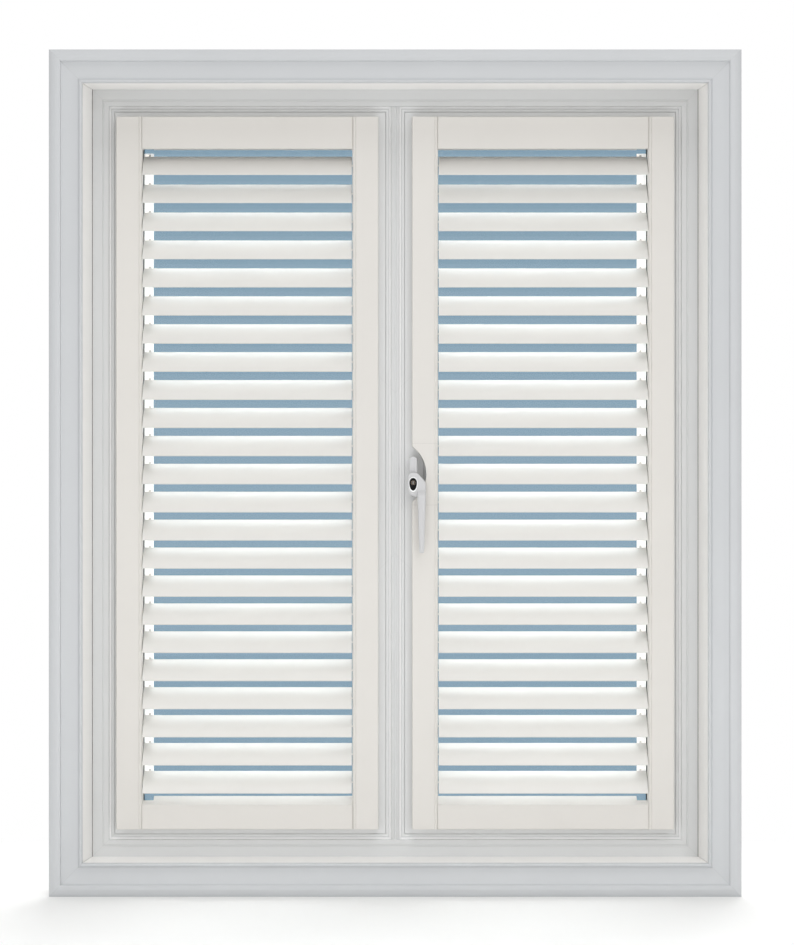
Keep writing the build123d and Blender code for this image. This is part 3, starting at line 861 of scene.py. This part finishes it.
class SHUTTER_OT_finishes(bpy.types.Operator):
    """Give every solid its paint, plastic, glass or metal"""

    bl_idname = "shutter.finishes"
    bl_label = "Finishes"

    def execute(self, context):
        colours = context.scene.shutter_colours
        make_paint_film()
        make_corner_joint()
        make_cross_joint()
        shutter = painted_material("shutter_paint", colours.shutter)
        jointed = painted_material("jointed_paint", colours.shutter, STILE_JOINTS, "cross_joint")
        # The blades' paint is the panel paint made a little lighter: painted light.
        blade = painted_material("blade_paint_painted_light", colours.blade)
        plastic = painted_material("window_plastic", colours.plastic, WELD_JOINTS)
        # The frame's plastic is the sash plastic made darker: painted shade.
        outer = painted_material("frame_plastic_painted_shade", colours.frame_plastic_painted_shade, WELD_JOINTS)
        paint_frame_joint_shade(outer, colours.joint)
        casing = painted_material("casing_paint", colours.casing, MITRE_JOINTS)
        # The lining's paint is lighter than the casing's: painted light on the reveal.
        lining = painted_material("lining_paint_painted_light", colours.lining, LINING_JOINTS)
        prime_outside(lining, colours.primer)
        handle = painted_material("handle_coating", colours.handle)
        strip = painted_material("tilt_bar_coating", colours.tilt_bar)
        translucent_with_painted_glow(strip, colours.tilt_bar)
        lock = painted_material("lock_metal", colours.lock)
        lock.node_tree.nodes["Principled BSDF"].inputs["Metallic"].default_value = LOCK_METALLIC
        paint_keyway_shade(lock)
        wear(["casing"], casing)
        wear(["reveal_lining"], lining)
        wear(["window_frame"], outer)
        wear(["left_sash", "right_sash"], plastic)
        wear(["left_panel_frame"], shutter)
        wear(["right_panel_frame"], jointed)
        wear([f"{hand}_blade_{row:02d}" for hand in HANDS for row in range(1, BLADE_ROWS + 1)], blade)
        wear(["left_tilt_bar", "right_tilt_bar"], strip)
        wear(["handle_base", "handle_lever"], handle)
        wear(["lock_plug"], lock)
        wear(["left_glass", "right_glass"], glass_material(colours.glass))
        return {"FINISHED"}


class SHUTTER_OT_edges(bpy.types.Operator):
    """Round the sharp edges of the solids as paint and moulding round them"""

    bl_idname = "shutter.edges"
    bl_label = "Edges"

    def execute(self, context):
        for name, width in SOFT_EDGES.items():
            weld = nodes[name].modifiers.new("weld", "WELD")
            weld.merge_threshold = WELD_DISTANCE
            bevel = nodes[name].modifiers.new("soft_edges", "BEVEL")
            bevel.width = width
            bevel.segments = 2
            bevel.limit_method = "ANGLE"
            bevel.angle_limit = math.radians(SOFT_EDGE_ANGLE)
            bevel.harden_normals = True
        return {"FINISHED"}


class SHUTTER_OT_seals(bpy.types.Operator):
    """Lay the gaskets round the sashes and the seals against the glass"""

    bl_idname = "shutter.seals"
    bl_label = "Seals"

    def execute(self, context):
        colours = context.scene.shutter_colours
        sizes = context.scene.shutter_sizes
        rubber = painted_material("seal_rubber", colours.seal)
        # Near-white gasket rubber, as painted light in the groove round each sash.
        gasket = painted_material("gasket_rubber_painted_light", colours.gasket)
        for hand, body in (("left", "window"), ("right", "right_sash")):
            low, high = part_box(f"{hand}_sash")
            inset = SASH_FLANGE - sizes.gasket
            front = low.y + sizes.gasket_depth
            make_ring(
                f"{hand}_gasket",
                (low.x + inset, low.z + inset),
                (high.x - inset, high.z - inset),
                sizes.gasket + GASKET_LAP,
                front,
                front + GASKET_THICKNESS,
                gasket,
                body,
            )
            low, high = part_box(f"{hand}_glass")
            for side, face, proud in (("room", low.y, -SEAL_PROUD), ("outer", high.y, SEAL_PROUD)):
                make_ring(
                    f"{hand}_{side}_seal",
                    (low.x + GLASS_COVER, low.z + GLASS_COVER),
                    (high.x - GLASS_COVER, high.z - GLASS_COVER),
                    sizes.seal,
                    face + proud,
                    face,
                    rubber,
                    body,
                )
        return {"FINISHED"}


class SHUTTER_OT_handle(bpy.types.Operator):
    """Model the rounded base and the cranked lever of the handle"""

    bl_idname = "shutter.handle"
    bl_label = "Handle"

    def execute(self, context):
        coating = bpy.data.materials["handle_coating"]
        base = make_base()
        base.data.materials.append(coating)
        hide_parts("handle_base")
        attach(base, "right_sash")

        head = make_head()
        for part in (head, make_arm(), make_spindle()):
            part.select_set(True)
        context.view_layer.objects.active = head
        bpy.ops.object.join()
        head.data.materials.clear()
        head.data.materials.append(coating)
        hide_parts("handle_lever")
        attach(head, "handle")
        return {"FINISHED"}


class SHUTTER_OT_key_plate(bpy.types.Operator):
    """Model the black plate round the lock and its raised rim"""

    bl_idname = "shutter.key_plate"
    bl_label = "Key plate"

    def execute(self, context):
        colours = context.scene.shutter_colours
        hole = (lock_high.x - lock_low.x) / 2 + KEY_PLATE_CLEARANCE
        plate = make_egg("key_plate", 0.0, hole, KEY_PLATE_THICKNESS)
        black = painted_material("key_plate_black", colours.key_plate)
        shader = black.node_tree.nodes["Principled BSDF"]
        shader.inputs["Specular IOR Level"].default_value = KEY_PLATE_SPECULAR
        plate.data.materials.append(black)
        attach(plate, "handle")
        rim = make_egg("key_plate_rim", RIM_WIDTH, KEY_PLATE_WIDTH / 2 - RIM_LAP, RIM_THICKNESS)
        # The rim's lighter coating is a painted highlight.
        rim.data.materials.append(painted_material("rim_painted_highlight", colours.rim))
        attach(rim, "handle")
        return {"FINISHED"}


# Stage
def floor_material(colour):
    """A pale floor round the object, where its shadow lies, that fades to plain white."""
    material, tree, shader, position = new_material("floor_paint", colour)
    noise = add_noise(tree, position, FLOOR_NOISE)
    rough = add_math(tree, "MULTIPLY_ADD", noise, FLOOR_ROUGHNESS_SPREAD, FLOOR_ROUGHNESS)
    tree.links.new(rough, shader.inputs["Roughness"])
    shader.inputs["Base Color"].default_value = tuple(colour)
    shader.inputs["Specular IOR Level"].default_value = FLOOR_SPECULAR
    x, y, _ = split_axes(tree, position)
    across = add_math(tree, "MULTIPLY", x, FLOOR_STRETCH)
    along = add_math(tree, "SUBTRACT", y, FLOOR_MIDDLE)
    away = add_distance(tree, across, along)
    far = add_math(tree, "MULTIPLY_ADD", away, FLOOR_FADE, -FLOOR_FADE_START, clamp=True)
    white = tree.nodes.new("ShaderNodeEmission")
    room_side = add_math(tree, "LESS_THAN", y, 0.0)
    light = add_math(tree, "MULTIPLY_ADD", room_side, 1.0 - FLOOR_LIGHT_BEHIND, FLOOR_LIGHT_BEHIND)
    light = add_math(tree, "MAXIMUM", light, seen_directly(tree))
    tree.links.new(light, white.inputs["Strength"])
    show_mix(tree, far, shader, white)
    return material


def make_floor(level, colour):
    """The floor under the object."""
    bpy.ops.object.select_all(action="DESELECT")
    bpy.ops.mesh.primitive_plane_add(size=FLOOR_SIZE, location=(0, 0, level))
    floor = bpy.context.object
    floor.name = "floor"
    bpy.ops.object.transform_apply(location=True, rotation=True, scale=True)
    floor.data.materials.append(floor_material(colour))
    floor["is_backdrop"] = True


def light_world():
    """A world that is white to look at, dimmer as light, and as daylight comes in through the glass."""
    world = bpy.data.worlds.new("studio")
    bpy.context.scene.world = world
    world.use_nodes = True
    tree = world.node_tree
    background = tree.nodes["Background"]
    strength = add_math(tree, "MULTIPLY_ADD", seen_directly(tree), 1.0 - WORLD_LIGHT, WORLD_LIGHT)
    path = tree.nodes.new("ShaderNodeLightPath")
    bounced = add_math(tree, "MINIMUM", path.outputs["Diffuse Depth"], 1.0)
    indoors = add_math(tree, "MULTIPLY", bounced, path.outputs["Is Transmission Ray"])
    colour = add_mix(tree, indoors, (1, 1, 1, 1), DAYLIGHT_COLOUR)
    strength = add_math(tree, "MULTIPLY_ADD", indoors, DAYLIGHT, strength)
    tree.links.new(colour, background.inputs["Color"])
    tree.links.new(strength, background.inputs["Strength"])


def hang_lamp(name, place, aim, size, power):
    """A soft lamp that is aimed at a point and stays out of sight."""
    lamp = bpy.data.lights.new(name, "AREA")
    lamp.shape = "RECTANGLE"
    lamp.size, lamp.size_y = size
    lamp.energy = power
    holder = bpy.data.objects.new(name, lamp)
    holder.visible_camera = False
    holder.visible_transmission = False
    holder.visible_glossy = name != UNREFLECTED_LAMP
    bpy.context.scene.collection.objects.link(holder)
    holder.location = place
    holder.rotation_euler = (Vector(aim) - Vector(place)).to_track_quat("-Z", "Y").to_euler()


def place_camera(distance):
    """The camera, level with the middle of the window and square to it."""
    camera = bpy.data.cameras.new("photo_camera")
    camera.sensor_fit = "HORIZONTAL"
    camera.sensor_width = SENSOR_WIDTH
    camera.lens = LENS_PIXELS / PHOTO_WIDTH * SENSOR_WIDTH
    camera.clip_end = CAMERA_REACH
    holder = bpy.data.objects.new("photo_camera", camera)
    bpy.context.scene.collection.objects.link(holder)
    holder.location = (CAMERA_ACROSS, PANEL_FRONT - distance, CAMERA_LEVEL)
    holder.rotation_euler = (math.radians(90), 0, 0)
    bpy.context.scene.camera = holder


class SHUTTER_OT_stage(bpy.types.Operator):
    """Set up the pale floor, the soft light and the camera"""

    bl_idname = "shutter.stage"
    bl_label = "Stage"

    def execute(self, context):
        low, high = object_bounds()
        make_floor(low.z, context.scene.shutter_colours.ground)
        light_world()
        for lamp in LAMPS:
            hang_lamp(*lamp)
        place_camera(context.scene.shutter_sizes.camera_distance)
        context.scene.view_settings.view_transform = "Standard"
        return {"FINISHED"}


class SHUTTER_PT_panel(bpy.types.Panel):
    """Lists the steps that dress the shutters"""

    bl_idname = "SHUTTER_PT_panel"
    bl_label = "Shutters"
    bl_space_type = "VIEW_3D"
    bl_region_type = "UI"
    bl_category = "Shutters"

    def draw(self, context):
        for operator in OPERATORS:
            self.layout.operator(operator.bl_idname)
        for settings in (context.scene.shutter_colours, context.scene.shutter_sizes):
            for name in settings.__annotations__:
                self.layout.prop(settings, name)


OPERATORS = (
    SHUTTER_OT_finishes,
    SHUTTER_OT_edges,
    SHUTTER_OT_seals,
    SHUTTER_OT_handle,
    SHUTTER_OT_key_plate,
    SHUTTER_OT_stage,
)
CLASSES = (ShutterColours, ShutterSizes) + OPERATORS + (SHUTTER_PT_panel,)


def register():
    for item in CLASSES:
        bpy.utils.register_class(item)
    bpy.types.Scene.shutter_colours = bpy.props.PointerProperty(type=ShutterColours)
    bpy.types.Scene.shutter_sizes = bpy.props.PointerProperty(type=ShutterSizes)


def unregister():
    del bpy.types.Scene.shutter_sizes
    del bpy.types.Scene.shutter_colours
    for item in reversed(CLASSES):
        bpy.utils.unregister_class(item)


def main():
    register()
    bpy.ops.shutter.finishes()
    bpy.ops.shutter.edges()
    bpy.ops.shutter.seals()
    bpy.ops.shutter.handle()
    bpy.ops.shutter.key_plate()
    bpy.ops.shutter.stage()


if __name__ == "__main__":
    main()
